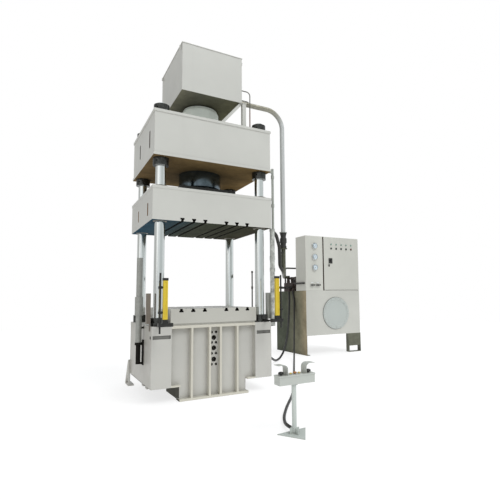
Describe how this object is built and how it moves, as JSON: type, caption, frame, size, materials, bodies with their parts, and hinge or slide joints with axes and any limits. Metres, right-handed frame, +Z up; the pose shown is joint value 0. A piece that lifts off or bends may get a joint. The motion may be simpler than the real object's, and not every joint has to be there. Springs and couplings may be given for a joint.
{
  "type": "hydraulic press",
  "caption": "Four-column hydraulic press with sliding ram platen, T-slotted bolster, upper oil tank, separate power unit with control cabinet, and two-hand control stand.",
  "frame": {"origin": "on the press axis at the floor, under the middle of the bed's sole", "axes": "+X to the right along the front, +Y towards the back, +Z up along the columns"},
  "size_m": [5.851, 6.305, 5.219],
  "materials": {
    "frame_paint": "satin warm light grey paint",
    "chrome_column": "ground and hard chromed",
    "black_steel": "blackened steel",
    "cylinder_steel": "glossy dark oiled steel below, pale grey-green paint above the crown",
    "ram_chrome": "ground and hard chromed",
    "bronze": "oiled bronze",
    "ejector_steel": "painted",
    "pipe_steel": "painted grey",
    "pipe_dark": "dark steel tube",
    "sleeve_rubber": "moulded black rubber",
    "curtain_yellow": "yellow powder coat",
    "grey_box": "satin grey paint",
    "unit_paint": "satin warm light grey paint",
    "cover_paint": "satin light grey paint",
    "zinc_bolt": "zinc plated",
    "lamp_trim": "lamp lenses and black plate",
    "black_plastic": "moulded black",
    "gauge_case": "polished case",
    "motor_paint": "grey-green enamel",
    "pump_iron": "painted casting",
    "manifold_steel": "blackened steel",
    "coil_black": "moulded coils",
    "stand_paint": "satin light grey paint",
    "button_amber": "moulded",
    "button_yellow": "moulded",
    "hose_rubber": "black rubber cover"
  },
  "bodies": {
    "frame": {"bed_weldment": "frame_paint", "bolster_plate": "frame_paint", "column_front_left": "chrome_column", "column_front_right": "chrome_column", "column_rear_left": "chrome_column", "column_rear_right": "chrome_column", "end_nuts": "black_steel", "inner_nuts": "black_steel", "crown_weldment": "frame_paint", "cylinder_barrel": "cylinder_steel", "gland_ring": "black_steel", "gland_bolts": "black_steel", "ejector_barrel": "ejector_steel", "top_tank": "frame_paint", "top_tank_lid": "frame_paint", "top_tank_supports": "frame_paint", "return_pipe": "pipe_steel", "pipe_sleeve": "sleeve_rubber", "corner_pipe": "pipe_steel", "control_pipes": "pipe_dark", "curtain_bars": "curtain_yellow", "curtain_brackets": "black_steel", "switch_boxes": "grey_box", "limit_rod": "pipe_steel", "safety_prop": "pipe_steel", "prop_socket": "grey_box", "unit_tank": "unit_paint", "manhole_cover": "cover_paint", "manhole_bolts": "zinc_bolt", "cabinet_shell": "unit_paint", "gauge_cases": "gauge_case", "pump_motor": "motor_paint", "hydraulic_pump": "pump_iron", "valve_manifold": "manifold_steel", "valve_coils": "coil_black", "pedestal_stand": "stand_paint", "pedestal_box": "stand_paint", "ejector_hose": "hose_rubber", "pedestal_cable": "hose_rubber"},
    "slide": {"slide_weldment": "frame_paint", "main_ram": "ram_chrome", "ram_plate": "black_steel", "ram_bolts": "black_steel", "guide_bushes": "bronze"},
    "ejector": {"ejector_rod": "ram_chrome"},
    "door": {"cabinet_door": "unit_paint", "door_fittings": "lamp_trim"},
    "main_switch": {"rotary_switch": "black_plastic"},
    "button_a": {"push_button_a": "black_plastic"},
    "button_b": {"push_button_b": "black_plastic"},
    "button_c": {"push_button_c": "black_plastic"},
    "button_d": {"push_button_d": "black_plastic"},
    "button_e": {"push_button_e": "black_plastic"},
    "knob_l": {"knob_left": "black_plastic"},
    "knob_r": {"knob_right": "black_plastic"},
    "palm_l": {"palm_left": "black_plastic"},
    "palm_r": {"palm_right": "black_plastic"},
    "stop": {"stop_button": "button_amber"},
    "stand_a": {"stand_button_a": "button_yellow"},
    "stand_b": {"stand_button_b": "button_yellow"}
  },
  "joints": [
    {"name": "slide_travel", "type": "slide", "parent": "frame", "child": "slide", "axis": [0, 0, 1], "range_m": [-0.6, 0]},
    {"name": "ejector_lift", "type": "slide", "parent": "frame", "child": "ejector", "axis": [0, 0, 1], "range_m": [0, 0.2]},
    {"name": "cabinet_door_hinge", "type": "hinge", "parent": "frame", "child": "door", "pos_m": [4.838, 1.945, 2.2], "axis": [0, 0, 1], "range_deg": [0, 110]},
    {"name": "main_switch_turn", "type": "hinge", "parent": "door", "child": "main_switch", "pos_m": [3.965, 1.945, 2.25], "axis": [0, 1, 0], "range_deg": [0, 90]},
    {"name": "button_a_press", "type": "slide", "parent": "door", "child": "button_a", "axis": [0, 1, 0], "range_m": [0, 0.004], "stiffness_N_per_m": 600},
    {"name": "button_b_press", "type": "slide", "parent": "door", "child": "button_b", "axis": [0, 1, 0], "range_m": [0, 0.004], "stiffness_N_per_m": 600},
    {"name": "button_c_press", "type": "slide", "parent": "door", "child": "button_c", "axis": [0, 1, 0], "range_m": [0, 0.004], "stiffness_N_per_m": 600},
    {"name": "button_d_press", "type": "slide", "parent": "door", "child": "button_d", "axis": [0, 1, 0], "range_m": [0, 0.004], "stiffness_N_per_m": 600},
    {"name": "button_e_press", "type": "slide", "parent": "door", "child": "button_e", "axis": [0, 1, 0], "range_m": [0, 0.004], "stiffness_N_per_m": 600},
    {"name": "knob_l_turn", "type": "hinge", "parent": "frame", "child": "knob_l", "pos_m": [3.417, 1.945, 1.646], "axis": [0, 1, 0], "range_deg": [0, 90]},
    {"name": "knob_r_turn", "type": "hinge", "parent": "frame", "child": "knob_r", "pos_m": [3.574, 1.945, 1.646], "axis": [0, 1, 0], "range_deg": [0, 90]},
    {"name": "palm_l_press", "type": "slide", "parent": "frame", "child": "palm_l", "axis": [0, 0, -1], "range_m": [0, 0.008], "stiffness_N_per_m": 600},
    {"name": "palm_r_press", "type": "slide", "parent": "frame", "child": "palm_r", "axis": [0, 0, -1], "range_m": [0, 0.008], "stiffness_N_per_m": 600},
    {"name": "stop_press", "type": "slide", "parent": "frame", "child": "stop", "axis": [0, 0, -1], "range_m": [0, 0.006]},
    {"name": "stand_a_press", "type": "slide", "parent": "frame", "child": "stand_a", "axis": [0, 0, -1], "range_m": [0, 0.004], "stiffness_N_per_m": 600},
    {"name": "stand_b_press", "type": "slide", "parent": "frame", "child": "stand_b", "axis": [0, 0, -1], "range_m": [0, 0.004], "stiffness_N_per_m": 600}
  ]
}
